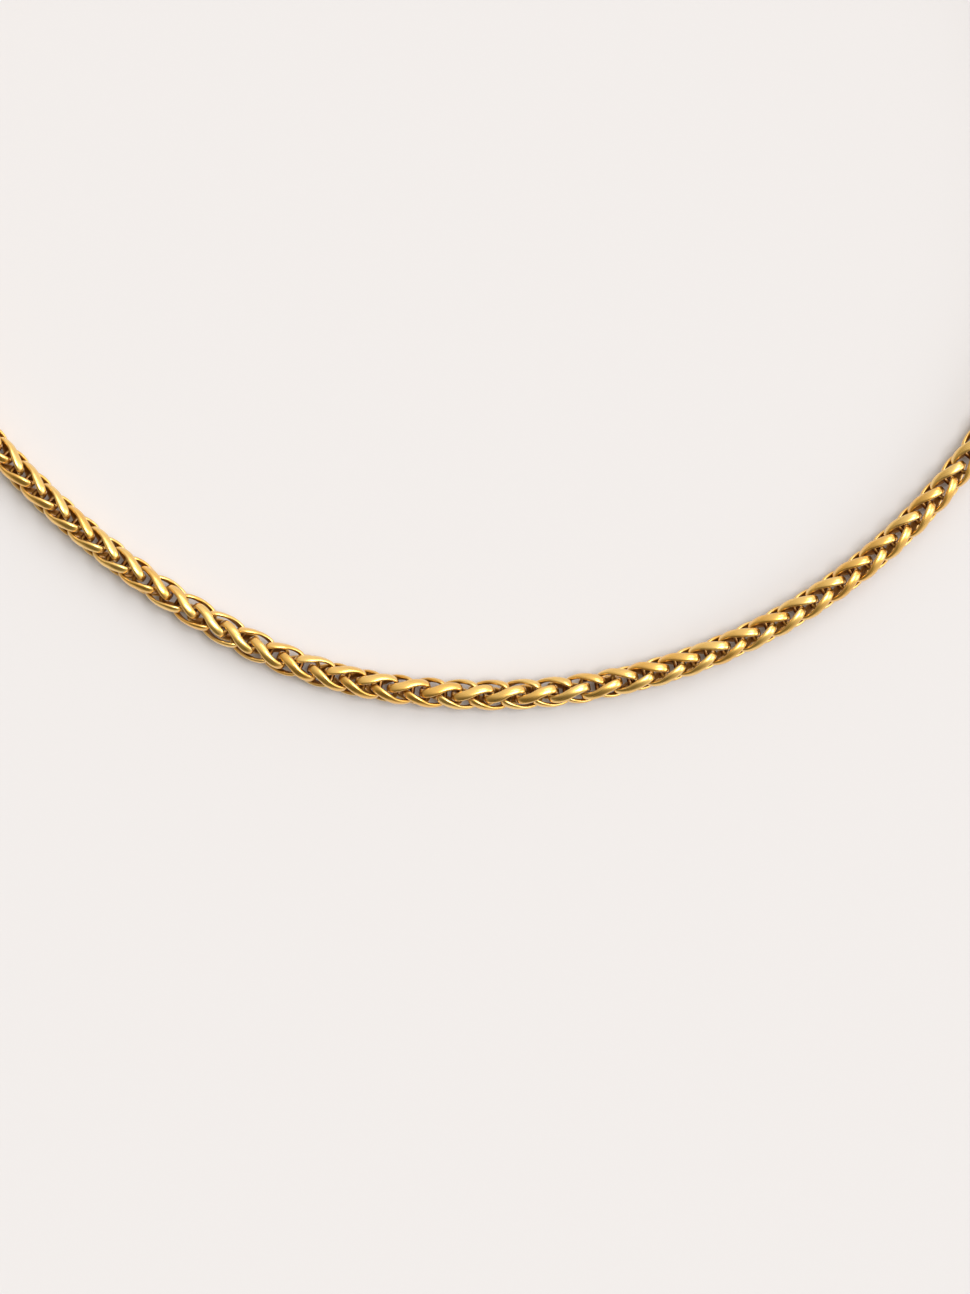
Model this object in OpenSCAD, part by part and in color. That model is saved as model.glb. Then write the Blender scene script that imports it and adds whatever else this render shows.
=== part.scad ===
// Wheat chain necklace, closed and lying flat in a round loop.
// Every link is a twisted oval of flattened wire, and passes through the two links before it.
// The wearer's front is at -Y, the clasp at +Y. The underside lies at z = 0.

/* [Necklace] */
// Length of the closed necklace along its middle line, clasp included
loop_l = 450; // [448:1:460]
// Thickness of the chain over its four rows
chain_d = 4.0; // [3.9:0.05:4.1]
// Advance from one link to the next
pitch = 2.07; // [2.05:0.01:2.09]

/* [Link] */
// Thickness of the flattened wire, in the plane of the link
wire_t = 0.6; // [0.58:0.01:0.6]
// Width of the flattened wire, the band that shows
wire_w = 1.2; // [1.1:0.05:1.2]
// Thickness of the wire at a link's two ends, where it is rounder
tip_t = 0.64; // [0.62:0.01:0.64]
// Width of the wire at a link's two ends
tip_w = 1.05; // [1:0.01:1.05]
// Play between a link's end and the end of the second link after it
play = 0.28; // [0.28:0.01:0.3]
// Turn of a link's head end away from its middle
head_turn = 35; // [34:0.5:36]
// Turn of a link's tail end away from its middle, the other way
tail_turn = 40; // [39:0.5:41]
// Tilt of the band about its own length
band_tilt = 5; // [4:0.5:6]
// Links built one by one in the front run
front_links = 80; // [72:2:84]
// Number of the first link of the front run, counted from the clasp's left end
front_first = 62; // [60:1:64]

/* [Clasp] */
// Distance between the chain's two ends, filled by the rings and the clasp
clasp_gap = 20; // [19.9:0.05:20.1]
// Wire of the jump rings
ring_wire = 0.8; // [0.7:0.05:0.8]
// Middle radius of the jump rings
ring_r = 1.6; // [1.55:0.05:1.6]
// Wire of the clasp's two eyes
eye_wire = 0.9; // [0.8:0.05:0.9]
// Middle radius of the clasp's two eyes
eye_r = 1.34; // [1.3:0.01:1.34]
// Thickness of the clasp's barrel
barrel_d = 3.9; // [3.6:0.1:3.9]

/* [Hidden] */
gold = [0.86, 0.68, 0.32];
axis_z = chain_d / 2;

// The loop's route, turning left all the way. Columns: turn in degrees, radius.
front_arcs = [[20, 111.6], [22, 59.6], [6, 97.9], [52, 75.4]];
front_from = -48;
front_to = 52;
shoulder = 120;
top_straight = 22;
lead = 0.3;

function sum(v, n) = n < 1 ? 0 : v[n - 1] + sum(v, n - 1);
function arc_x(r, h0, h1) = r * (sin(h1) - sin(h0));
function arc_y(r, h0, h1) = r * (cos(h0) - cos(h1));
function arc_len(turn, r) = r * turn * PI / 180;
function heading_of(arcs, from, n) = from + sum([for (a = arcs) a[0]], n);

front_x = sum([for (i = [0:3]) arc_x(front_arcs[i][1], heading_of(front_arcs, front_from, i),
                                     heading_of(front_arcs, front_from, i + 1))], 4);
front_y = sum([for (i = [0:3]) arc_y(front_arcs[i][1], heading_of(front_arcs, front_from, i),
                                     heading_of(front_arcs, front_from, i + 1))], 4);
front_len = sum([for (a = front_arcs) arc_len(a[0], a[1])], 4);

// Given the left side's radius, the right side's closes the loop in y and the back's in x.
function right_for(l) = -(front_y + arc_y(l, -shoulder, front_from)) / arc_y(1, front_to, shoulder);
function back_for(l) = (front_x + arc_x(right_for(l), front_to, shoulder)
                        + arc_x(l, -shoulder, front_from) - top_straight) / (2 * sin(shoulder));
function loop_for(l) = front_len + top_straight + arc_len(shoulder + front_from, l)
                       + arc_len(shoulder - front_to, right_for(l))
                       + 2 * arc_len(180 - shoulder, back_for(l));
left_r = (loop_l - loop_for(0)) / (loop_for(1) - loop_for(0));
right_r = right_for(left_r);
back_r = back_for(left_r);

arcs = concat([[180 - shoulder, back_r], [shoulder + front_from, left_r]], front_arcs,
              [[shoulder - front_to, right_r], [180 - shoulder, back_r]]);
arc_count = len(arcs);
arc_h = [for (i = [0:arc_count]) heading_of(arcs, -180, i)];
arc_s = [for (i = [0:arc_count]) sum([for (a = arcs) arc_len(a[0], a[1])], i)];
step_x = [for (i = [0:arc_count - 1]) arc_x(arcs[i][1], arc_h[i], arc_h[i + 1])];
step_y = [for (i = [0:arc_count - 1]) arc_y(arcs[i][1], arc_h[i], arc_h[i + 1])];

// The loop's outermost points, from which its middle is placed at the origin.
left_most = step_x[0] + arc_x(left_r, -shoulder, -90);
right_most = sum(step_x, 6) + arc_x(right_r, front_to, 90);
lowest = sum(step_y, 5);
home = [-(left_most + right_most) / 2, -lowest / 2];
arc_at = [for (i = [0:arc_count]) home + [sum(step_x, i), sum(step_y, i)]];

function arc_of(s, i = 0) = i >= arc_count - 1 || s < arc_s[i + 1] ? i : arc_of(s, i + 1);
function heading(s) = let (t = min(max(s, 0), arc_s[arc_count]), i = arc_of(t))
    arc_h[i] + (t - arc_s[i]) / arcs[i][1] * 180 / PI;
function middle(s) = let (t = min(max(s, 0), arc_s[arc_count]), i = arc_of(t), h = heading(s), past = s - t)
    arc_at[i] + [arc_x(arcs[i][1], arc_h[i], h), arc_y(arcs[i][1], arc_h[i], h)] + past * [cos(h), sin(h)];

// How far the rows are rolled about the chain's own axis, as read off the photo.
// At both ends the last link lies flat, so that an upright ring goes through it.
// Columns: distance from the end of the front's second arc, roll in degrees.
roll_table = [[-205, tail_turn], [-60, 44], [-44, 49], [-38, 55], [-24, 91], [-8, 134],
              [14, 181], [31, 231], [66, 227], [225, 270 + head_turn]];
function roll(s) = lookup(s - arc_s[4], roll_table);

// A point given along, beside and above the middle line, carried to its place on the loop.
function on_loop(s, y, z) = let (r = roll(s), h = heading(s), c = middle(s),
                                 side = y * cos(r) - z * sin(r), up = y * sin(r) + z * cos(r))
    [c.x - sin(h) * side, c.y + cos(h) * side, axis_z + up];

// One link. Its middle line is an oval with blunt ends, in a plane that turns as it goes along the chain.
oval_half = (2 * pitch + tip_t + play) / 2;
// The wire's edges stand out a little past its middle, so the oval is that much smaller than the chain.
edge_room = 0.04;
oval_r = (chain_d - wire_t) / 2 - edge_room;
tip = oval_half + tip_t / 2;
side_fullness = 4.5;
turn_ease = 0.86;
head_flare = 0.05;
// Where the corners of a link are, as the angle that runs round its oval.
head_corners = [5, 34, 68];
half_corners = concat(head_corners, [for (i = [2:-1:0]) 180 - head_corners[i]]);
link_corners = concat(half_corners, [for (i = [5:-1:0]) 360 - half_corners[i]]);
link_sides = len(link_corners);
// Corners of the flattened wire. Columns: part of its thickness, part of its width.
wire_corners = [[0.5, 0.3], [0, 0.5], [-0.5, 0.3], [-0.5, -0.3], [0, -0.5], [0.5, -0.3]];
link_count = round((loop_l - clasp_gap - 2 * tip) / pitch) + 1;
// How far links have slid along within their play. Columns: number of the link, distance.
end_slip = loop_l - clasp_gap - 2 * tip - (link_count - 1) * pitch;
slip_table = [[0, 0], [66, 1.05], [80, 0.85], [90, 1.1], [99, 1.15], [107, 0.75], [118, 0.75], [137, 1.7],
              [link_count - 1, end_slip]];
function link_s(n) = tip - lead + n * pitch + lookup(n, slip_table);

function unit(v) = v / norm(v);
function bent(v, e) = sign(v) * pow(abs(v), e);
function plane_turn(u, hand) = hand * (cos(u) > 0 ? head_turn : tail_turn) * bent(cos(u), turn_ease);
function oval(u, hand) = let (rho = oval_r * bent(sin(u), 2 / side_fullness) * (1 + head_flare * cos(u)),
                              turn = plane_turn(u, hand))
    [oval_half * cos(u), rho * cos(turn), rho * sin(turn)];
function link_corner(u, corner, hand) =
    let (along = unit(oval(u + 2, hand) - oval(u - 2, hand)),
         turn = plane_turn(u, hand),
         flat_across = unit(cross([0, -sin(turn), cos(turn)], along)),
         flat_band = cross(along, flat_across),
         tilt = hand * band_tilt,
         across = flat_across * cos(tilt) + flat_band * sin(tilt),
         band = flat_band * cos(tilt) - flat_across * sin(tilt),
         rounder = pow(cos(u), 4))
    oval(u, hand) + across * corner[0] * (wire_t + (tip_t - wire_t) * rounder)
                  + band * corner[1] * (wire_w + (tip_w - wire_w) * rounder);
function link_point(n, u, corner) =
    let (p = link_corner(u, corner, n % 2 == 0 ? 1 : -1), s = link_s(n) + p.x)
    n % 2 == 0 ? on_loop(s, p.y, p.z) : on_loop(s, -p.z, p.y);

// The links numbered from first to last, each a closed ring of twelve sides.
module links(first, last) {
    around = len(wire_corners);
    each_link = link_sides * around;
    polyhedron(
        points = [for (n = [first:last]) for (u = link_corners) for (k = [0:around - 1])
            link_point(n, u, wire_corners[k])],
        faces = [for (n = [0:last - first]) for (j = [0:link_sides - 1]) for (k = [0:around - 1])
            let (base = n * each_link, j2 = (j + 1) % link_sides, k2 = (k + 1) % around,
                 a = base + j * around + k, b = base + j2 * around + k,
                 c = base + j2 * around + k2, d = base + j * around + k2)
            each [[a, b, c], [a, c, d]]],
        convexity = 10);
}

// A plain round run of the chain's thickness, from s0 to s1 along the loop.
module run(s0, s1) {
    sides = 12;
    rings = ceil((s1 - s0) / 9);
    polyhedron(
        points = [for (i = [0:rings]) let (s = s0 + (s1 - s0) * i / rings, h = heading(s), c = middle(s))
            for (k = [0:sides - 1]) let (a = 270 + k * 360 / sides, r = chain_d / 2)
            [c.x - sin(h) * r * cos(a), c.y + cos(h) * r * cos(a), axis_z + r * sin(a)]],
        faces = concat(
            [for (i = [0:rings - 1]) for (k = [0:sides - 1])
                let (a = i * sides + k, b = a + sides, k2 = (k + 1) % sides,
                     c = (i + 1) * sides + k2, d = i * sides + k2)
                each [[a, b, c], [a, c, d]]],
            [[for (k = [0:sides - 1]) k]],
            [[for (k = [0:sides - 1]) rings * sides + sides - 1 - k]]),
        convexity = 10);
}

front_last = front_first + front_links - 1;
end_cover = 2.2;
run_clear = 0.15;

// The front run, link by link.
module chain_front() color(gold) links(front_first, front_last);

// The two back runs. The end links stand out of them at the clasp and where they take hold of the front run.
module chain_back() color(gold) {
    union() {
        run(end_cover - lead, link_s(front_first) - tip - run_clear);
        links(0, 0);
        links(front_first - 2, front_first - 1);
    }
    union() {
        run(link_s(front_last) + tip + run_clear, link_s(link_count - 1) + tip - end_cover);
        links(link_count - 1, link_count - 1);
        links(front_last + 1, front_last + 2);
    }
}

// Places children on the top straight, x measured from the chain's left end towards the clasp.
module at_clasp(x) translate([arc_at[0].x + lead + x, arc_at[0].y, axis_z]) children();
chain_hole = (tip_t + pitch) / 2;

module jump_ring(x) at_clasp(x) rotate([90, 0, 0]) rotate_extrude($fn = 64)
    translate([ring_r, 0]) circle(d = ring_wire, $fn = 32);

ring_x = ring_r - chain_hole;
module ring_left() color(gold) jump_ring(ring_x);
module ring_right() color(gold) jump_ring(clasp_gap - ring_x);

// The clasp is one plain barrel with an eye at each end.
eye_tip = 0.22;
eye_x = eye_tip + eye_r + eye_wire / 2;
barrel_x = eye_x + eye_r - 0.2;
barrel_l = clasp_gap - 2 * barrel_x;
barrel_edge = 0.8;
module eye(x) at_clasp(x) rotate_extrude($fn = 64) translate([eye_r, 0]) circle(d = eye_wire, $fn = 32);
module clasp() color(gold) {
    at_clasp(barrel_x) rotate([0, 90, 0]) rotate_extrude($fn = 64)
        polygon([[0, 0], [barrel_d / 2 - barrel_edge, 0], [barrel_d / 2, barrel_edge],
                 [barrel_d / 2, barrel_l - barrel_edge], [barrel_d / 2 - barrel_edge, barrel_l],
                 [0, barrel_l]]);
    eye(eye_x);
    eye(clasp_gap - eye_x);
}

chain_front();
chain_back();
ring_left();
ring_right();
clasp();
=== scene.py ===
# %% [markdown]
# This lesson dresses a gold-tone wheat chain necklace that lies flat in a round loop.
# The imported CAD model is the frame. It holds the chain, two jump rings and a plain clasp at their true size,
# and every piece made here is placed by the same numbers, so nothing has to be fitted by eye.
# Sizes are written in millimetres and turned into metres where a mesh, the camera or a material takes them.

import math

import bmesh
import bpy
import numpy as np
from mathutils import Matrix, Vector


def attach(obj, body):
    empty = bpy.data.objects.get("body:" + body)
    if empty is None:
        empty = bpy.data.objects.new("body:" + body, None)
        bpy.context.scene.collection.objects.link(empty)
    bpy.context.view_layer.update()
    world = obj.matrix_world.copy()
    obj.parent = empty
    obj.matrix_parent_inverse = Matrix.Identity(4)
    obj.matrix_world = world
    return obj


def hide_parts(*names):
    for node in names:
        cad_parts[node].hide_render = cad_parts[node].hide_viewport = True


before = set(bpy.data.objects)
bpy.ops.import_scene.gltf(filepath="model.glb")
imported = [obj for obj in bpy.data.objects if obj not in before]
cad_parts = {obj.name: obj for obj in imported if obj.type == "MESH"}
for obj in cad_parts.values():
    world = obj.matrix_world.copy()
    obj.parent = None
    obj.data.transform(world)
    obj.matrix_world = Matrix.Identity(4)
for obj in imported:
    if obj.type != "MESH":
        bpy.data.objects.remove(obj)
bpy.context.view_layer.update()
MM = 0.001
print("CAD nodes:", sorted(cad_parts))

# %% [markdown]
# The camera comes first. The photograph looks straight down on the front of the necklace and crops it,
# so only the lowest stretch of the loop shows. A wide lens close by would show the outer links from the
# side, which the photograph does not. A long lens far above gives sight lines that are nearly parallel.

# %% Camera straight above the front of the necklace
PHOTO_WIDE, PHOTO_HIGH = 970, 1294
PIXELS_PER_MM = 7.875
# The place in mm that the middle of the picture shows. The picture is taller than wide, so the sensor's
# size goes with its height.
VIEW_X, VIEW_Y = 1.441, -60.584
CAMERA_HEIGHT = 900
CAMERA_REACH_METRES = 20
SENSOR = 36
CHAIN_THICK = 4.0
AXIS_HEIGHT = CHAIN_THICK / 2

view_high = PHOTO_HIGH / PIXELS_PER_MM
camera_data = bpy.data.cameras.new("camera_above")
camera_data.sensor_width = SENSOR
camera_data.lens = SENSOR * CAMERA_HEIGHT / view_high
camera_data.clip_end = CAMERA_REACH_METRES
camera = bpy.data.objects.new("camera_above", camera_data)
bpy.context.scene.collection.objects.link(camera)
camera.location = (VIEW_X * MM, VIEW_Y * MM, (AXIS_HEIGHT + CAMERA_HEIGHT) * MM)
bpy.context.scene.camera = camera
print("camera sees", round(PHOTO_WIDE / PIXELS_PER_MM, 1), "x", round(view_high, 1), "mm")

# %% [markdown]
# Almost every surface below is a grid of points that a formula gives, joined by four-cornered faces.
# A sheet has four open edges, a tube is closed one way, and a ring such as a link is closed both ways.
# One helper joins the points of many such grids at once, so a whole chain is one mesh and one object.
# It also writes a UV map in millimetres, along the wire and around it, which the polish lines follow later.
# Each face has its own corners in that map, so the map runs on to the seam and does not turn back there.

# %% Mesh helpers


def joined_mesh(name, points, along_mm=None, around_mm=None):
    """One smooth mesh of many rings. points[ring, i, j, xyz] is in mm, and neighbours in i and in j are
    joined, both ways closed. along_mm[ring, i] and around_mm[j] have one value more, for the seam."""
    rings, rows, columns = points.shape[:3]
    index = np.arange(rings * rows * columns).reshape(rings, rows, columns)
    ahead = np.roll(index, -1, 1)
    quads = np.stack([index, np.roll(index, -1, 2), np.roll(ahead, -1, 2), ahead], -1)
    mesh = bpy.data.meshes.new(name)
    mesh.from_pydata((points * MM).reshape(-1, 3), [], quads.reshape(-1, 4).tolist())
    mesh.polygons.foreach_set("use_smooth", np.ones(rings * rows * columns, bool))
    if along_mm is not None:
        along, around = np.broadcast_arrays(along_mm[:, :, None], around_mm[None, None, :])
        corners = np.stack([along, around], -1)
        corners = np.stack([corners[:, :-1, :-1], corners[:, :-1, 1:],
                            corners[:, 1:, 1:], corners[:, 1:, :-1]], 3)
        mesh.uv_layers.new(name="wire_mm").data.foreach_set("uv", corners.astype(np.float32).ravel())
    mesh.update()
    return mesh


def placed(name, mesh):
    """An object for the mesh at the scene's origin, unturned and unscaled: the mesh is in its place."""
    piece = bpy.data.objects.new(name, mesh)
    bpy.context.scene.collection.objects.link(piece)
    return piece


def solid_volume(mesh):
    """Volume in cubic mm, as a sum of the pyramids from the origin to each triangle. It is positive only
    where the faces look outwards."""
    mesh.calc_loop_triangles()
    corner = np.empty(len(mesh.vertices) * 3, np.float32)
    mesh.vertices.foreach_get("co", corner)
    triangle = np.empty(len(mesh.loop_triangles) * 3, np.int32)
    mesh.loop_triangles.foreach_get("vertices", triangle)
    a, b, c = np.moveaxis((corner.astype(float) / MM).reshape(-1, 3)[triangle.reshape(-1, 3)], 1, 0)
    return np.einsum("ij,ij->", a, np.cross(b, c)) / 6


print("helpers ready")

# %% [markdown]
# The middle line of the chain is a loop of arcs that turns left all the way, as the CAD source has it.
# A bent chain could be made by modelling it straight and giving it a Curve modifier. Here each point of
# the straight chain is carried over by numpy instead: its distance along gives a place and a heading on
# the arcs, and the two other coordinates are set beside and above that place.

# %% The loop's route
# Columns: turn in degrees, radius in mm. First comes the left half of the back, then the left side, the
# four arcs of the front, the right side and the right half of the back.
ARCS = np.array([[60, 64.8473], [72, 59.7758], [20, 111.6], [22, 59.6], [6, 97.9], [52, 75.4],
                 [68, 64.4951], [60, 64.8473]])
CLOSED_LENGTH = 450
# The chain's ends lie this far past the arcs, on the straight stretch that the clasp fills.
LEAD = 0.3
arc_turn = np.radians(ARCS[:, 0])
arc_heading = np.concatenate([[-np.pi], -np.pi + np.cumsum(arc_turn)])
arc_start = np.concatenate([[0], np.cumsum(arc_turn * ARCS[:, 1])])


def arc_step(radius, h0, h1):
    """The step in x and y along an arc whose heading goes from h0 to h1."""
    return np.stack([radius * (np.sin(h1) - np.sin(h0)), radius * (np.cos(h0) - np.cos(h1))], -1)


arc_steps = arc_step(ARCS[:, 1], arc_heading[:-1], arc_heading[1:])
arc_corner = np.concatenate([[[0, 0]], np.cumsum(arc_steps, 0)])
# The points furthest left, front and right lie on these arcs, where the heading is a whole quarter turn.
# They give the middle of the loop, which goes to the origin.
quarter_headings = np.radians([-90, 0, 90])
quarter_arcs = np.array([1, 4, 6])
outermost = arc_corner[quarter_arcs] + arc_step(
    ARCS[quarter_arcs, 1], arc_heading[quarter_arcs], quarter_headings)
route_home = -np.array([outermost[0, 0] + outermost[2, 0], outermost[1, 1]]) / 2
arc_corner = arc_corner + route_home


def along_route(s):
    """Point and heading of the middle line at the distances s. Past either end it runs straight on."""
    on = np.clip(s, 0, arc_start[-1])
    arc = np.clip(np.searchsorted(arc_start, on, side="right") - 1, 0, len(ARCS) - 1)
    heading = arc_heading[arc] + (on - arc_start[arc]) / ARCS[arc, 1]
    point = arc_corner[arc] + arc_step(ARCS[arc, 1], arc_heading[arc], heading)
    past = (s - on)[..., None] * np.stack([np.cos(heading), np.sin(heading)], -1)
    return point + past, heading


print("arcs end", (arc_corner[-1] - arc_corner[0]).round(3), "from their start, after",
      arc_start[-1].round(2), "mm")

# %% [markdown]
# A lying chain is never quite even. The photograph shows the four rows rolling slowly about the chain's own
# axis, and some links have slid along within their play. Both are short tables, read off the photograph,
# with the same values that the CAD source has. Between the places they run straight from value to value.

# %% Roll of the rows
HEAD_TURN, TAIL_TURN = 35, 40
# The places are distances in mm from the end of the front's second arc.
front_bend = arc_start[4]
ROLL_PLACES = np.array([-205, -60, -44, -38, -24, -8, 14, 31, 66, 225]) + front_bend
ROLL_DEGREES = np.array([TAIL_TURN, 44, 49, 55, 91, 134, 181, 231, 227, 270 + HEAD_TURN])


def laid_on_loop(straight):
    """Carries points (s, y, z) of a straight chain to the loop: rolled as the place s has it, then set
    beside and above the route."""
    s, y, z = np.moveaxis(straight, -1, 0)
    roll = np.radians(np.interp(s, ROLL_PLACES, ROLL_DEGREES))
    point, heading = along_route(s)
    side = y * np.cos(roll) - z * np.sin(roll)
    up = y * np.sin(roll) + z * np.cos(roll)
    return np.stack([point[..., 0] - np.sin(heading) * side, point[..., 1] + np.cos(heading) * side,
                     AXIS_HEIGHT + up], -1)


print("rows roll by", ROLL_DEGREES[-1] - ROLL_DEGREES[0], "degrees over the whole chain")

# %% [markdown]
# A wheat chain is made of short oval links of flattened wire. Each oval is twisted, so that its head end
# leans one way and its tail end the other, and each link passes through the two links before it.
# Neighbours are twisted opposite ways and stand at right angles, which gives four rows that look like the
# grains on an ear. One link could be sculpted and repeated, but a formula keeps the ends and the gaps
# exact, and lets every link differ a little. The oval is blunt: its height is the sine raised to a small
# power. Its points are then spaced evenly by length, because even steps of the angle would leave the flat
# ends with hardly any.

# %% Middle line of a link
PITCH = 2.07
WIRE_THICK, WIRE_WIDE = 0.6, 1.2
TIP_THICK, TIP_WIDE = 0.64, 1.05
LINK_PLAY = 0.28
SIDE_FULLNESS = 4.5
TURN_EASE = 0.86
HEAD_FLARE = 0.05
# The wire's edges stand out a little past its middle, so the oval is that much smaller than the chain.
EDGE_ROOM = 0.04
# Fine steps of the middle line, and the half way in mm over which its direction is measured.
FINE_STEPS, HALF_WAY = 1440, 0.04
oval_half = (2 * PITCH + TIP_THICK + LINK_PLAY) / 2
oval_radius = (CHAIN_THICK - WIRE_THICK) / 2 - EDGE_ROOM


def bent(value, power):
    """The value raised to the power, with its sign kept."""
    return np.sign(value) * np.abs(value) ** power


def plane_turn(angle, hand):
    """Turn of the oval's plane in radians: none in the middle, most at the ends, left or right by hand."""
    end_turn = np.where(np.cos(angle) > 0, HEAD_TURN, TAIL_TURN)
    return hand * np.radians(end_turn) * bent(np.cos(angle), TURN_EASE)


def even_oval(hand, steps):
    """Middle line, direction and turn of a link, from the tail round to the tail. The line is a blunt oval
    laid in a turning plane, and its steps have even lengths. The distance at each step comes last."""
    angle = np.pi + np.linspace(0, 2 * np.pi, FINE_STEPS + 1)
    turn = plane_turn(angle, hand)
    out = oval_radius * bent(np.sin(angle), 2 / SIDE_FULLNESS) * (1 + HEAD_FLARE * np.cos(angle))
    line = np.stack([oval_half * np.cos(angle), out * np.cos(turn), out * np.sin(turn), turn])
    length = np.concatenate([[0], np.cumsum(np.linalg.norm(np.diff(line[:3], axis=1), axis=0))])

    def at(distance):
        """Place and turn at the distances along the line, read off between its fine points."""
        return np.stack([np.interp(distance, length, row, period=length[-1]) for row in line], -1)

    distance = np.linspace(0, length[-1], steps + 1)
    here = at(distance[:-1])
    step = at(distance[:-1] + HALF_WAY) - at(distance[:-1] - HALF_WAY)
    forward = step[:, :3] / np.linalg.norm(step[:, :3], axis=1, keepdims=True)
    return here[:, :3], forward, here[:, 3], distance


print("link measures", round(2 * oval_half + TIP_THICK, 2), "mm over its ends,",
      round(even_oval(1, 40)[3][-1], 2), "mm of wire")

# %% [markdown]
# The wire was rolled flat before it was bent, so it is a thin, wide band along the two sides of a link.
# At both ends, where it is bent tightest and bears on its neighbours, it is thicker and rounder. A bevelled
# curve would have one section all along, so a section is carried along the middle line here and changes on
# the way. Three numbers go with each point for the finish later: how deep it lies in the chain and whether
# it is on the inner or the outer side of the wire, which place the painted shade in the chain's hollows,
# and a tone for its link.

# %% Surface of the links
BAND_TILT = 5
FLAT_FACE = 2.2
LINK_COUNT = 206
FIRST_MIDDLE = oval_half + TIP_THICK / 2 - LEAD
CLASP_GAP = 20
end_slip = CLOSED_LENGTH - CLASP_GAP - 2 * (FIRST_MIDDLE + LEAD) - (LINK_COUNT - 1) * PITCH
# How far the numbered links have slid along within their play.
SLIP_LINKS = [0, 66, 80, 90, 99, 107, 118, 137, LINK_COUNT - 1]
SLIP_MM = [0, 1.05, 0.85, 1.1, 1.15, 0.75, 0.75, 1.7, end_slip]
# Each link's part of the UV map lies this far from its neighbour's, so no two links have the same lines.
LINES_APART = 40.0
TONE_SEED = 7


def link_surface(hand, along, around):
    """Surface of one link about its own middle, as [along, around, xyz]. The wire's section is a blunt
    ellipse, thin in the link's plane and wide across it, and leans by BAND_TILT about the wire's own line.
    Towards the two ends it goes over to the rounder section of the tips, by the fourth power of the
    distance from the middle."""
    middle, forward, turn, distance = even_oval(hand, along)
    plane = np.stack([0 * turn, -np.sin(turn), np.cos(turn)], -1)
    thin_way = np.cross(plane, forward)
    thin_way /= np.linalg.norm(thin_way, axis=1, keepdims=True)
    wide_way = np.cross(forward, thin_way)
    tilt = hand * math.radians(BAND_TILT)
    thin_way, wide_way = (thin_way * math.cos(tilt) + wide_way * math.sin(tilt),
                          wide_way * math.cos(tilt) - thin_way * math.sin(tilt))
    section = np.linspace(0, 2 * np.pi, around + 1)
    thin, wide = bent(np.cos(section), 2 / FLAT_FACE) / 2, bent(np.sin(section), 2 / FLAT_FACE) / 2
    tip = (middle[:, :1] / oval_half) ** 4
    thickness = WIRE_THICK + (TIP_THICK - WIRE_THICK) * tip
    width = WIRE_WIDE + (TIP_WIDE - WIRE_WIDE) * tip
    surface = (middle[:, None] + thin_way[:, None] * (thickness * thin[:-1])[:, :, None]
               + wide_way[:, None] * (width * wide[:-1])[:, :, None])
    section_steps = np.hypot(WIRE_THICK * np.diff(thin), WIRE_WIDE * np.diff(wide))
    around_mm = np.concatenate([[0], np.cumsum(section_steps)])
    inner = (1 + np.cos(section[:-1])) / 2
    return surface, distance, around_mm, inner


def chain_run(name, numbers, along, around):
    """The numbered links as one mesh. Even links are twisted one way, and odd links the other way and
    turned by 90 degrees about the chain. Each is moved to its place in the row, and all are laid on the
    loop."""
    right, along_mm, around_mm, inner = link_surface(1, along, around)
    left = link_surface(-1, along, around)[0]
    left = np.stack([left[..., 0], -left[..., 2], left[..., 1]], -1)
    straight = np.where((numbers % 2 == 0)[:, None, None, None], right, left)
    link_middle = FIRST_MIDDLE + numbers * PITCH + np.interp(numbers, SLIP_LINKS, SLIP_MM)
    straight[..., 0] += link_middle[:, None, None]
    mesh = joined_mesh(name, laid_on_loop(straight), along_mm + LINES_APART * numbers[:, None], around_mm)
    tones = np.random.default_rng(TONE_SEED).uniform(0, 1, LINK_COUNT)[numbers][:, None, None]
    # Depth in the chain and the inner side place the finish's painted shade; the tone is the link's own.
    for carried, values in (("depth_mm", oval_radius - np.hypot(straight[..., 1], straight[..., 2])),
                            ("link_tone", tones), ("inner_side", inner)):
        values = np.broadcast_to(values, straight.shape[:3]).astype(np.float32)
        mesh.attributes.new(carried, "FLOAT", "POINT").data.foreach_set("value", values.ravel())
    return placed(name, mesh)


# %% [markdown]
# The chain is made in two runs, as in the CAD model. The front run is the stretch that the photograph shows
# close up, so its links are fine. The many links behind it are only seen from afar and get fewer faces,
# which keeps the whole chain light. The CAD model has little more than plain rods there, and the true
# links take their place.

# %% Front and back runs of the chain
FRONT_FIRST, FRONT_LINKS = 62, 80
# Faces along and around the wire of one link.
FRONT_FACES, BACK_FACES = (44, 14), (22, 8)
numbers = np.arange(LINK_COUNT)
is_front = (numbers >= FRONT_FIRST) & (numbers < FRONT_FIRST + FRONT_LINKS)
front_chain = chain_run("front_chain", numbers[is_front], *FRONT_FACES)
back_chain = chain_run("back_chain", numbers[~is_front], *BACK_FACES)
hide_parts("chain_front")
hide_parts("chain_back")
for run in (front_chain, back_chain):
    print(run.name, len(run.data.polygons), "faces,", round(solid_volume(run.data), 1), "cubic mm")

# %% [markdown]
# A small jump ring joins each end link to the clasp. A real one is a piece of round wire bent to a circle,
# and its two cut ends meet at a butt joint, which shows as a hairline. The ring is swept along its circle
# with that joint cut in as a shallow groove: the wire gets thinner over a very short stretch.

# %% Jump rings
RING_WIRE, RING_RADIUS = 0.8, 1.6
# Faces along and around the wire of a ring.
RING_FACES = (64, 16)
JOINT_DEEP, JOINT_WIDE, JOINT_ANGLE = 0.05, 0.045, 70
# Closer rows of points reach this many joint widths to both sides of it, and the even rows stay clear.
JOINT_REACH, JOINT_ROWS, JOINT_CLEAR = 2, 9, 1.5
chain_hole = (TIP_THICK + PITCH) / 2
ring_place = RING_RADIUS - chain_hole
chain_end = arc_corner[0] + np.array([LEAD, 0])


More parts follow.
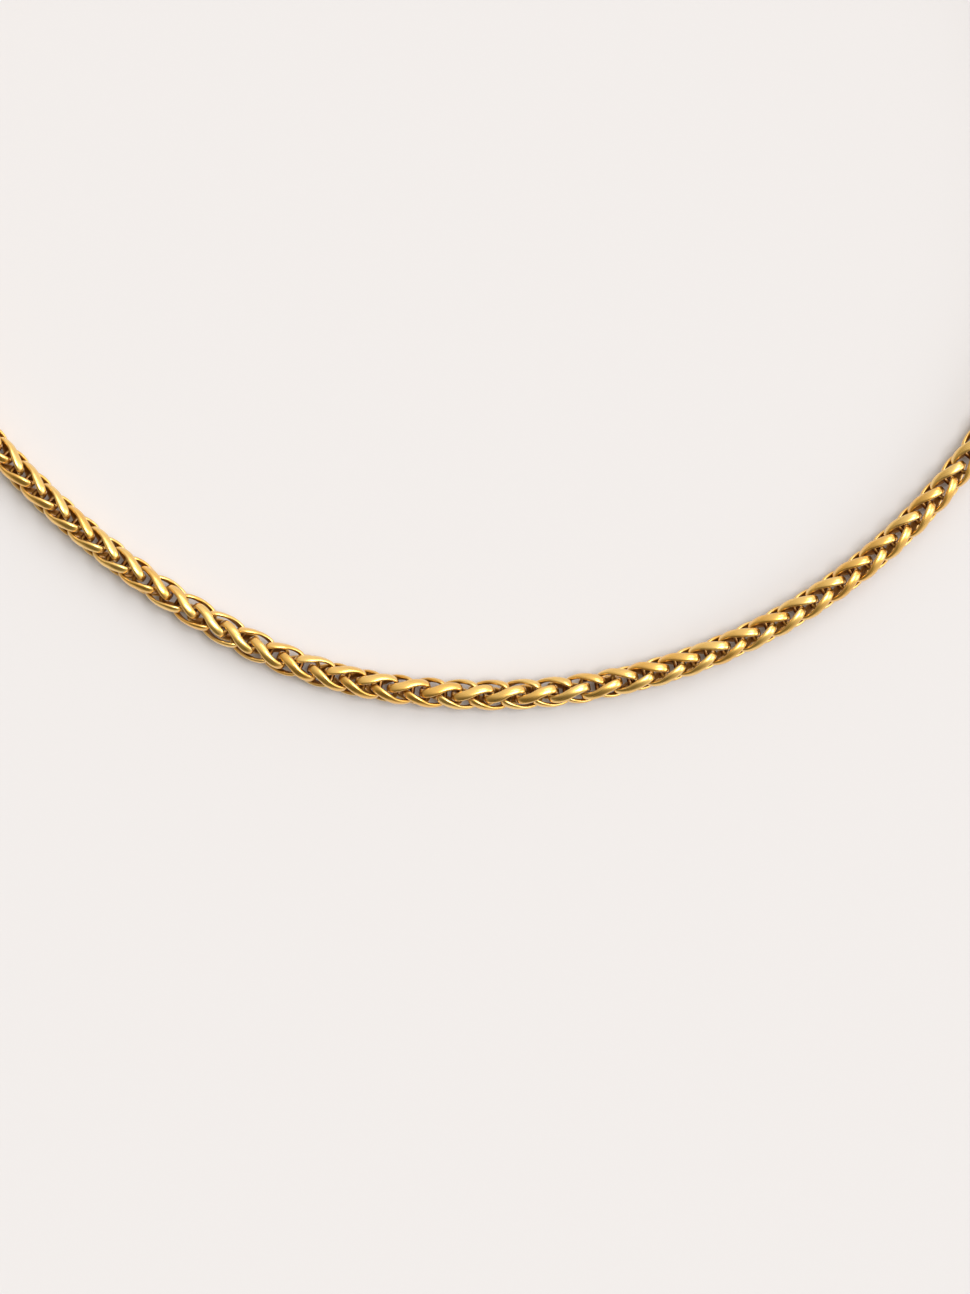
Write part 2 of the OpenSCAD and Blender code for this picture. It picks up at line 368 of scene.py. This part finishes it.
def swept_circle(radius, wire, steps, around, joint=None):
    """A round wire bent to a circle in its own x and y, as [along, around, xyz]. At the joint's angle the
    wire is thinner by a narrow bell curve of the distance from it: the hairline where its ends meet."""
    angle = np.linspace(0, 2 * np.pi, steps, endpoint=False)
    thick = np.full(steps, wire / 2)
    if joint is not None:
        closer = JOINT_WIDE / radius * np.linspace(-JOINT_REACH, JOINT_REACH, JOINT_ROWS)
        clear = np.abs(angle - joint) > closer[-1] * JOINT_CLEAR
        angle = np.sort(np.concatenate([angle[clear], joint + closer]))
        thick = wire / 2 - JOINT_DEEP * np.exp(-((angle - joint) * radius / (JOINT_WIDE / 2)) ** 2)
    section = np.linspace(0, 2 * np.pi, around, endpoint=False)
    out = radius + thick[:, None] * np.cos(section)
    up = -thick[:, None] * np.sin(section)
    surface = np.stack([out * np.cos(angle)[:, None], out * np.sin(angle)[:, None], up], -1)
    along_mm = np.append(angle, angle[0] + 2 * np.pi) * radius
    around_mm = np.linspace(0, np.pi * wire, around + 1)
    return surface, along_mm, around_mm


def jump_ring(name, place):
    """The upright ring at the place along the clasp's gap: its circle's x and y become x and height."""
    surface, along_mm, around_mm = swept_circle(
        RING_RADIUS, RING_WIRE, *RING_FACES, joint=np.radians(JOINT_ANGLE))
    x, y, up = np.moveaxis(surface, -1, 0)
    upright = np.stack([chain_end[0] + place + x, chain_end[1] - up, AXIS_HEIGHT + y], -1)
    return placed(name, joined_mesh(name, upright[None], along_mm[None], around_mm))


left_ring = jump_ring("left_jump_ring", ring_place)
right_ring = jump_ring("right_jump_ring", CLASP_GAP - ring_place)
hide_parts("ring_left")
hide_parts("ring_right")
for ring in (left_ring, right_ring):
    print(ring.name, len(ring.data.polygons), "faces,", round(solid_volume(ring.data), 2), "cubic mm")

# %% [markdown]
# The photograph does not show the clasp, so it stays one plain closed barrel with an eye at each end.
# A cylinder with a Bevel modifier would do. Here the barrel is turned about its axis from one profile, as a
# lathe makes it, which keeps its faces even. Its edges are eased by a quarter circle, because a polished
# barrel has no sharp ones.

# %% Clasp
EYE_WIRE, EYE_RADIUS = 0.9, 1.34
# From the chain's end to the eye, and how deep the eye's wire is sunk in the barrel.
EYE_TIP, EYE_SUNK = 0.22, 0.2
BARREL_THICK, EDGE_EASE = 3.9, 0.8
EYE_FACES, BARREL_AROUND = (48, 16), 64
# Rows of points on the flat end, over the eased edge and on half of the side.
END_ROWS, EDGE_ROWS, SIDE_ROWS = 5, 9, 6
# The rows on the flat end lie between these parts of its radius. Those of the side start so many mm in.
END_FROM, END_TO, SIDE_FROM = 0.04, 0.92, 1.5
eye_place = EYE_TIP + EYE_RADIUS + EYE_WIRE / 2
barrel_start = eye_place + EYE_RADIUS - EYE_SUNK
barrel_long = CLASP_GAP - 2 * barrel_start


def barrel_surface(around):
    """The turned barrel along x from 0, as rows of one profile point each. The profile goes out along the
    end, over a quarter circle, along the side, and back the same way."""
    quarter = np.radians(np.linspace(0, 90, EDGE_ROWS))
    end_out = np.linspace(END_FROM, END_TO, END_ROWS) * (BARREL_THICK / 2 - EDGE_EASE)
    half_x = np.concatenate([0 * end_out, EDGE_EASE * (1 - np.cos(quarter)),
                             np.linspace(SIDE_FROM, barrel_long / 2, SIDE_ROWS)])
    half_out = np.concatenate([end_out, BARREL_THICK / 2 - EDGE_EASE * (1 - np.sin(quarter)),
                               np.full(SIDE_ROWS, BARREL_THICK / 2)])
    x = np.concatenate([half_x, barrel_long - half_x[-2::-1]])
    out = np.concatenate([half_out, half_out[-2::-1]])
    section = np.linspace(0, 2 * np.pi, around, endpoint=False)
    return np.stack([np.broadcast_to(x[:, None], (len(x), around)), out[:, None] * np.cos(section),
                     out[:, None] * np.sin(section)], -1)


def barrel_mesh(name, around):
    """The barrel's rows joined by quads, with one small face on the axis at each end to close it."""
    rows = barrel_surface(around) + np.array([chain_end[0] + barrel_start, chain_end[1], AXIS_HEIGHT])
    index = np.arange(rows.shape[0] * around).reshape(-1, around)
    beside = np.roll(index, -1, 1)
    quads = np.stack([index[:-1], beside[:-1], beside[1:], index[1:]], -1).reshape(-1, 4)
    mesh = bpy.data.meshes.new(name)
    closing = [index[0, ::-1].tolist(), index[-1].tolist()]
    mesh.from_pydata((rows * MM).reshape(-1, 3), [], quads.tolist() + closing)
    mesh.polygons.foreach_set("use_smooth", np.ones(len(mesh.polygons), bool))
    mesh.update()
    return mesh


print("barrel", round(barrel_long, 2), "mm long and", BARREL_THICK, "mm thick")

# %% [markdown]
# Each eye is a closed circle of wire, soldered to the barrel's end, and the jump ring hangs in it. It could
# be a torus from Blender's own menu. The sweep that made the jump rings makes it too, with no joint in it,
# and the two eyes and the barrel are then put together in one piece.

# %% Eyes of the clasp, and the whole clasp


def gathered(name, meshes):
    """The faces of several meshes put together in one mesh, each mesh still closed in itself."""
    together = bmesh.new()
    for mesh in meshes:
        together.from_mesh(mesh)
        bpy.data.meshes.remove(mesh)
    whole = bpy.data.meshes.new(name)
    together.to_mesh(whole)
    together.free()
    return whole


eye_surface = swept_circle(EYE_RADIUS, EYE_WIRE, *EYE_FACES)[0]
eye_centres = np.array([[chain_end[0] + place, chain_end[1], AXIS_HEIGHT]
                        for place in (eye_place, CLASP_GAP - eye_place)])
eyes = joined_mesh("clasp_eyes", eye_surface[None] + eye_centres[:, None, None])
clasp = placed("plain_clasp", gathered("plain_clasp", [barrel_mesh("clasp_barrel", BARREL_AROUND), eyes]))
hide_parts("clasp")
print(clasp.name, len(clasp.data.polygons), "faces,", round(solid_volume(clasp.data), 1), "cubic mm")

# %% [markdown]
# The necklace is gold-plated brass, polished and a little worn. A bare metal shader with one colour looks
# like plastic film, because real plating drifts in tone, every link caught the polishing wheel differently,
# and the drawing of the wire left lines along it. The insides of the links are made duller and painted
# browner than the crowns, as painted shade in the hollows of the chain. Those four effects are one node
# group. It reads numbers that the meshes carry, such as how deep a point lies in the chain, so it can be
# placed in each material with other values, and it only gives back colour, roughness, height and the share
# of clear coat. The shader itself stays in each material.

# %% The worn gold group
worn_gold_and_shade = bpy.data.node_groups.new("worn_gold_and_shade", "ShaderNodeTree")


def add_socket(name, kind, value=None, way="INPUT"):
    """A named socket of the worn gold group, and its resting value."""
    socket = worn_gold_and_shade.interface.new_socket(name, in_out=way, socket_type=kind)
    if value is not None:
        socket.default_value = value


add_socket("Place", "NodeSocketVector")
add_socket("Along Wire", "NodeSocketVector")
add_socket("Depth", "NodeSocketFloat", 0.0)
add_socket("Inner Side", "NodeSocketFloat", 0.0)
add_socket("Link Tone", "NodeSocketFloat", 0.5)
add_socket("Pale Gold", "NodeSocketColor", (0.97, 0.62, 0.16, 1))
add_socket("Rich Gold", "NodeSocketColor", (0.93, 0.52, 0.09, 1))
# The brown that the links' insides are painted with, as painted shade.
add_socket("Painted Shade Brown", "NodeSocketColor", (0.22, 0.072, 0.010, 1))
add_socket("Polish", "NodeSocketFloat", 0.21)
add_socket("Line Spread", "NodeSocketFloat", 0.16)
add_socket("Colour", "NodeSocketColor", way="OUTPUT")
add_socket("Roughness", "NodeSocketFloat", way="OUTPUT")
add_socket("Height", "NodeSocketFloat", way="OUTPUT")
add_socket("Coat", "NodeSocketFloat", way="OUTPUT")


def add_node(tree, kind, **settings):
    """A new node of a tree, with its settings."""
    node = tree.nodes.new(kind)
    for key, value in settings.items():
        setattr(node, key, value)
    return node


def feed(tree, socket, value):
    """Sets an input to a number or colour, or joins it to an output that is given instead."""
    if isinstance(value, bpy.types.NodeSocket):
        tree.links.new(value, socket)
    else:
        socket.default_value = value


def calculated(tree, operation, first, second, third=0.0):
    """The output of a Math node on up to three numbers or outputs."""
    node = add_node(tree, "ShaderNodeMath", operation=operation)
    for socket, value in zip(node.inputs, (first, second, third)):
        feed(tree, socket, value)
    return node.outputs[0]


def colour_mix(tree, share, first, second):
    """A colour between the first and the second, by share. The Mix node has them as inputs 6 and 7."""
    node = add_node(tree, "ShaderNodeMix", data_type="RGBA")
    for socket, value in zip((node.inputs[0], node.inputs[6], node.inputs[7]), (share, first, second)):
        feed(tree, socket, value)
    return node.outputs[2]


def eased(tree, value, low, high, to_low=0.0, to_high=1.0):
    """The value carried from the range low to high onto another, with soft ends."""
    node = add_node(tree, "ShaderNodeMapRange", interpolation_type="SMOOTHSTEP")
    for socket, number in zip(node.inputs, (value, low, high, to_low, to_high)):
        feed(tree, socket, number)
    return node.outputs[0]


def cloudy(tree, vector, scale, detail):
    """A noise that runs from 0 to 1 over the vector, with so many blots to the vector's unit."""
    node = add_node(tree, "ShaderNodeTexNoise")
    feed(tree, node.inputs["Vector"], vector)
    node.inputs["Scale"].default_value = scale
    node.inputs["Detail"].default_value = detail
    return node.outputs[0]


DRIFTS_PER_METRE = 140
RICH_UP_TO, PALE_FROM = 0.25, 0.75
# Depths in mm, and parts of the way round to the wire's inner side, where the brown painted shade begins and
# is whole.
DEEP_FROM, DEEP_TO = 0.35, 1.25
INNER_FROM, INNER_TO = 0.45, 0.95
INNER_SHARE = 0.85
DULLER_INSIDE = 0.18
COAT_FADE_INSIDE = 0.85
given = add_node(worn_gold_and_shade, "NodeGroupInput").outputs
result = add_node(worn_gold_and_shade, "NodeGroupOutput").inputs
drift = cloudy(worn_gold_and_shade, given["Place"], DRIFTS_PER_METRE, detail=2)
# Half of the tone is the link's own, and the other half drifts slowly over the necklace.
half_drift = calculated(worn_gold_and_shade, "MULTIPLY", drift, 0.5)
tone = calculated(worn_gold_and_shade, "MULTIPLY_ADD", given["Link Tone"], 0.5, half_drift)
pale_share = eased(worn_gold_and_shade, tone, RICH_UP_TO, PALE_FROM)
plating = colour_mix(worn_gold_and_shade, pale_share, given["Rich Gold"], given["Pale Gold"])
# How far a point lies in the hollows of the chain, by depth and by the wire's inner side: the mask of the
# painted shade, which also dulls the wire there.
deep = eased(worn_gold_and_shade, given["Depth"], DEEP_FROM, DEEP_TO)
inner = eased(worn_gold_and_shade, given["Inner Side"], INNER_FROM, INNER_TO)
inside = calculated(worn_gold_and_shade, "MAXIMUM", deep, calculated(worn_gold_and_shade, "MULTIPLY", inner, INNER_SHARE))
lines = cloudy(worn_gold_and_shade, given["Along Wire"], 1, detail=3)
# Painted shade: the plating turns to the brown of the hollows where the mask is whole.
feed(worn_gold_and_shade, result["Colour"], colour_mix(worn_gold_and_shade, inside, plating, given["Painted Shade Brown"]))
line_part = calculated(worn_gold_and_shade, "MULTIPLY_ADD", lines, given["Line Spread"], given["Polish"])
rough = calculated(worn_gold_and_shade, "MULTIPLY_ADD", inside, DULLER_INSIDE, line_part)
feed(worn_gold_and_shade, result["Roughness"], rough)
feed(worn_gold_and_shade, result["Height"], lines)
# The coat fades on the same mask, so the painted-shade insides lose its white gloss too.
feed(worn_gold_and_shade, result["Coat"], calculated(worn_gold_and_shade, "MULTIPLY_ADD", inside, -COAT_FADE_INSIDE, 1.0))
print("worn gold group has", len(worn_gold_and_shade.nodes), "nodes")

# %% [markdown]
# Three materials use the group: the links, the rings and the clasp. Each is a metal under a thin clear coat,
# because the lacquer over the plating adds the white gloss that bare gold does not have. The coat's gloss is
# sharper than the metal's own. On the links it fades out towards their insides, and on the rings and the
# clasp it is whole. The lines follow the wire through the UV map. The barrel has no such map, so its lines
# follow Object coordinates, pressed together along it, as a lathe leaves them around it.

# %% Gold materials
# Lines to a millimetre along the wire and across it, and those of the turned barrel along and across it.
LINES_ALONG, LINES_ACROSS = 0.4, 8.0
TURNED_ALONG, TURNED_ACROSS = 6.0, 0.5
LINE_HEIGHT = 0.009
COAT_IOR, COAT_ROUGHNESS = 1.7, 0.12
wire_lines = (LINES_ALONG, LINES_ACROSS, 1)
turned_lines = (TURNED_ALONG / MM, TURNED_ACROSS / MM, TURNED_ACROSS / MM)


def gold_material(name, line_source, line_stretch, **values):
    """A material of worn gold. The lines follow the UV map named line_source, or Object coordinates where it
    is None, with line_stretch lines to a unit each way. The values go to the group's inputs by name. It
    gives back the material, its group node and its shader."""
    made = bpy.data.materials.new(name)
    made.use_nodes = True
    tree = made.node_tree
    shader = tree.nodes["Principled BSDF"]
    gold = add_node(tree, "ShaderNodeGroup", node_tree=worn_gold_and_shade)
    place = add_node(tree, "ShaderNodeTexCoord").outputs["Object"]
    feed(tree, gold.inputs["Place"], place)
    source = add_node(tree, "ShaderNodeUVMap", uv_map=line_source).outputs[0] if line_source else place
    stretch = add_node(tree, "ShaderNodeVectorMath", operation="MULTIPLY")
    feed(tree, stretch.inputs[0], source)
    feed(tree, stretch.inputs[1], line_stretch)
    feed(tree, gold.inputs["Along Wire"], stretch.outputs[0])
    for socket_name, value in values.items():
        feed(tree, gold.inputs[socket_name.replace("_", " ")], value)
    bump = add_node(tree, "ShaderNodeBump")
    bump.inputs["Distance"].default_value = LINE_HEIGHT * MM
    feed(tree, bump.inputs["Height"], gold.outputs["Height"])
    feed(tree, shader.inputs["Base Color"], gold.outputs["Colour"])
    feed(tree, shader.inputs["Roughness"], gold.outputs["Roughness"])
    feed(tree, shader.inputs["Normal"], bump.outputs[0])
    shader.inputs["Metallic"].default_value = 1
    shader.inputs["Coat Weight"].default_value = 1
    shader.inputs["Coat IOR"].default_value = COAT_IOR
    shader.inputs["Coat Roughness"].default_value = COAT_ROUGHNESS
    return made, gold, shader


chain_gold, chain_group, chain_shader = gold_material("gold_links_worn_and_shaded", "wire_mm", wire_lines)
chain_tree = chain_gold.node_tree
# The links' depths and inner sides feed the group's painted shade and the coat's fade; their tones are real.
for carried, socket_name in (("depth_mm", "Depth"), ("inner_side", "Inner Side"),
                             ("link_tone", "Link Tone")):
    reading = add_node(chain_tree, "ShaderNodeAttribute", attribute_name=carried)
    feed(chain_tree, chain_group.inputs[socket_name], reading.outputs["Fac"])
feed(chain_tree, chain_shader.inputs["Coat Weight"], chain_group.outputs["Coat"])
ring_gold = gold_material("worn_gold_rings", "wire_mm", wire_lines, Polish=0.16)[0]
clasp_gold = gold_material("worn_gold_clasp", None, turned_lines, Polish=0.14)[0]
for piece, slot, finish in ((front_chain, "gold_chain", chain_gold), (back_chain, "gold_chain", chain_gold),
                            (left_ring, "gold_rings", ring_gold), (right_ring, "gold_rings", ring_gold),
                            (clasp, "gold_clasp", clasp_gold)):
    piece.data.materials.append(finish)
    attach(piece, "root")
    print(piece.name, "has", finish.name)

# %% [markdown]
# The necklace lies on a plain pale surface with a matt finish, so that only the soft shadow under the chain
# shows on it. The surface is far larger than the picture, because polished gold mirrors all of it.

# %% Pale surface
FLOOR_COLOUR = (0.668, 0.653, 0.660, 1)
FLOOR_ROUGHNESS, FLOOR_GLOSS = 0.9, 0.1
FLOOR_HALF = 4000.0
FLOOR_LINES = 9
floor_steps = np.linspace(-FLOOR_HALF, FLOOR_HALF, FLOOR_LINES)
floor_x, floor_y = np.meshgrid(floor_steps, floor_steps, indexing="ij")
floor_points = np.stack([floor_x, floor_y, np.zeros_like(floor_x)], -1)
floor_index = np.arange(FLOOR_LINES ** 2).reshape(FLOOR_LINES, FLOOR_LINES)
floor_quads = np.stack([floor_index[:-1, :-1], floor_index[1:, :-1],
                        floor_index[1:, 1:], floor_index[:-1, 1:]], -1)
floor_mesh = bpy.data.meshes.new("pale_surface")
floor_mesh.from_pydata((floor_points * MM).reshape(-1, 3), [], floor_quads.reshape(-1, 4).tolist())
floor = placed("pale_surface", floor_mesh)
floor_finish = bpy.data.materials.new("pale_matt_surface")
floor_finish.use_nodes = True
floor_shader = floor_finish.node_tree.nodes["Principled BSDF"]
floor_shader.inputs["Base Color"].default_value = FLOOR_COLOUR
floor_shader.inputs["Roughness"].default_value = FLOOR_ROUGHNESS
floor_shader.inputs["Specular IOR Level"].default_value = FLOOR_GLOSS
floor.data.materials.append(floor_finish)
print("surface spans", 2 * FLOOR_HALF * MM, "m")

# %% [markdown]
# Polished metal shows its surroundings more than its own colour, so the light is most of the look. Area
# lamps would do, but each would have to hang at a place of its own. A sun lamp with a wide angle is simpler:
# it is a round patch of the sky, it lights the surface evenly, and its shadow is soft. Three of them stand
# where the highlights of the photograph ask for them: a bright key a little to the right of straight up,
# a weaker one further down towards the upper right, and one low at the right.

# %% Soft lights


def soft_light(name, from_up, azimuth, radius, brightness):
    """A round patch of light in the sky. from_up is its angle from straight up, azimuth its side, counted
    from +X towards +Y, and radius its half width, all in degrees. Its strength is its brightness times the
    patch's area as seen from the surface that faces it, which is pi times the squared sine of the radius."""
    data = bpy.data.lights.new(name, "SUN")
    data.angle = 2 * math.radians(radius)
    data.energy = brightness * math.pi * math.sin(math.radians(radius)) ** 2
    light = bpy.data.objects.new(name, data)
    tilt, side = math.radians(from_up), math.radians(azimuth)
    towards = Vector((math.sin(tilt) * math.cos(side), math.sin(tilt) * math.sin(side), math.cos(tilt)))
    light.rotation_euler = towards.to_track_quat("Z", "Y").to_euler()
    bpy.context.scene.collection.objects.link(light)
    return data.energy


key_power = soft_light("soft_key", from_up=22, azimuth=4, radius=16, brightness=7.0)
side_power = soft_light("soft_side", from_up=42, azimuth=60, radius=14, brightness=2.8)
low_power = soft_light("low_right", from_up=66, azimuth=-8, radius=14, brightness=3.5)
print("key", round(key_power, 2), "side", round(side_power, 2), "low light", round(low_power, 2),
      "W a square metre")

# %% [markdown]
# Behind the three lights the room changes slowly over the sky. It is bright and nearly white at the upper
# right, and dark and warm at the lower left, because the links' faces that look there are dark and brown in
# the photograph. The darkest ones look low to the front, so one patch of the sky is darker still there, as
# a black cloth in a studio makes it. A picture of a real room would do the same, but two directions and a
# few smooth steps are easier to set.

# %% Air of the studio
BRIGHT_SIDE = (0.70, 0.63, 0.33)
DARK_CLOTH = (-0.25, -0.78, 0.57)
# Cosines of the angle from each of the two directions, where its effect begins and where it is whole.
BRIGHT_BEGINS, BRIGHT_WHOLE = -0.55, 0.75
CLOTH_BEGINS, CLOTH_WHOLE = 0.62, 0.95
DARK_AIR, BRIGHT_AIR = 0.36, 0.95
WARM_TINT, WHITE_TINT = (1.0, 0.86, 0.60, 1), (1.0, 0.985, 0.965, 1)
CLOTH_LEAVES = 0.35
world = bpy.data.worlds.new("studio_air")
bpy.context.scene.world = world
world.use_nodes = True
sky = world.node_tree
background = sky.nodes["Background"]
view_way = add_node(sky, "ShaderNodeTexCoord").outputs["Generated"]


def near_to(direction):
    """The cosine of the angle between the way looked at in the sky and the direction."""
    node = add_node(sky, "ShaderNodeVectorMath", operation="DOT_PRODUCT")
    feed(sky, node.inputs[0], view_way)
    feed(sky, node.inputs[1], direction)
    return node.outputs["Value"]


lit_share = eased(sky, near_to(BRIGHT_SIDE), BRIGHT_BEGINS, BRIGHT_WHOLE)
air = calculated(sky, "MULTIPLY_ADD", lit_share, BRIGHT_AIR - DARK_AIR, DARK_AIR)
left_by_cloth = eased(sky, near_to(DARK_CLOTH), CLOTH_BEGINS, CLOTH_WHOLE, 1.0, CLOTH_LEAVES)
feed(sky, background.inputs["Strength"], calculated(sky, "MULTIPLY", air, left_by_cloth))
feed(sky, background.inputs["Color"], colour_mix(sky, lit_share, WARM_TINT, WHITE_TINT))
bpy.context.scene.view_settings.view_transform = "Standard"
print("air runs from", DARK_AIR, "to", BRIGHT_AIR)
